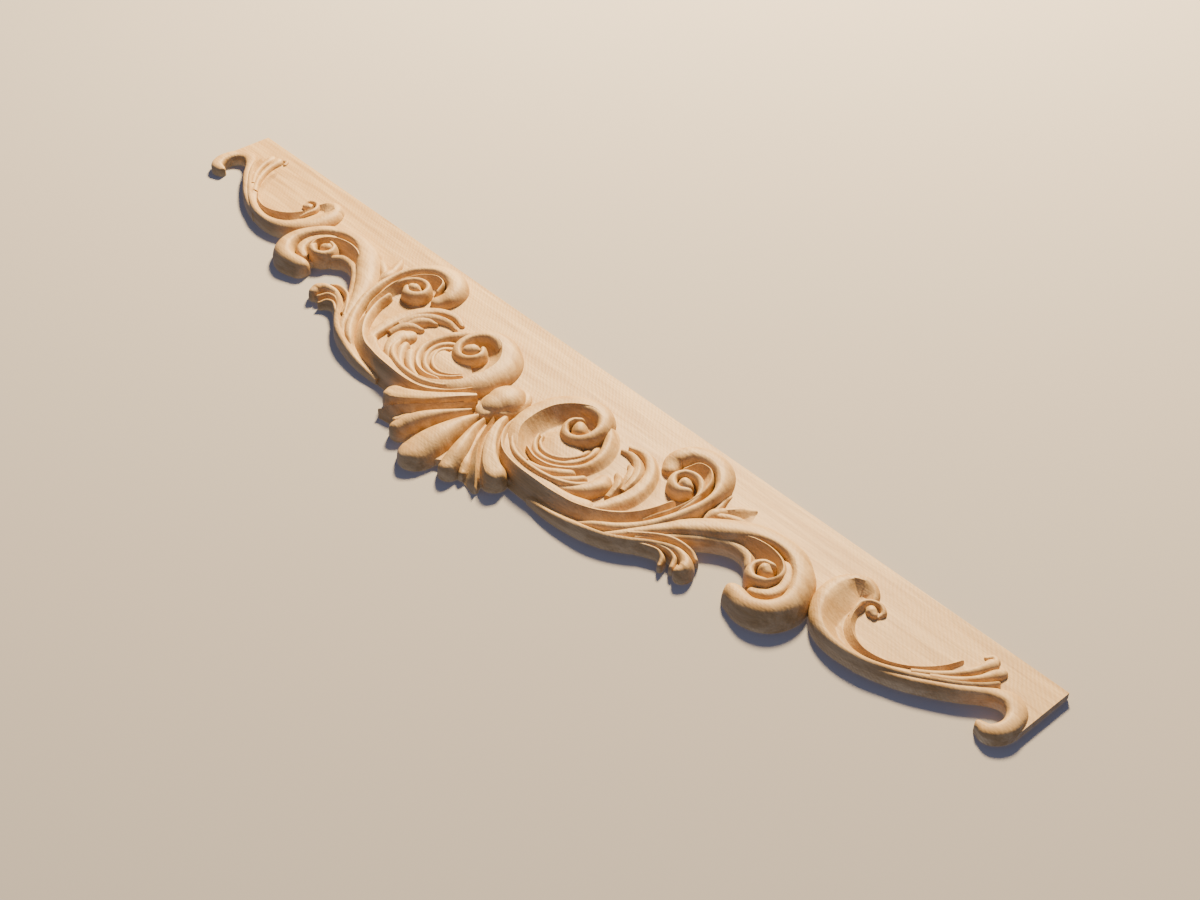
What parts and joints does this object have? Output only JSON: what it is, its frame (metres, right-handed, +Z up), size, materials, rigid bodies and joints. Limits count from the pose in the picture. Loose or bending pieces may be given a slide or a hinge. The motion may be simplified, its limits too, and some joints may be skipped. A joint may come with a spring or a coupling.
{
  "type": "carved shell pediment",
  "caption": "Long wooden pediment applique with a lobed shell over a cabochon, mirrored volutes, leaf sprays and curled ends in relief on a thin flat-backed board.",
  "frame": {"origin": "on the flat back face, on the middle line, 60 mm above the straight lower edge", "axes": "+X along the length, +Z up from the straight edge to the shell, +Y out of the flat back; the carving faces -Y"},
  "size_m": [1, 0.0194, 0.1985],
  "materials": {
    "wood": "bare sanded pale hardwood with fine grain along the length"
  },
  "bodies": {
    "root": {"carved_pediment": "wood"}
  },
  "joints": []
}
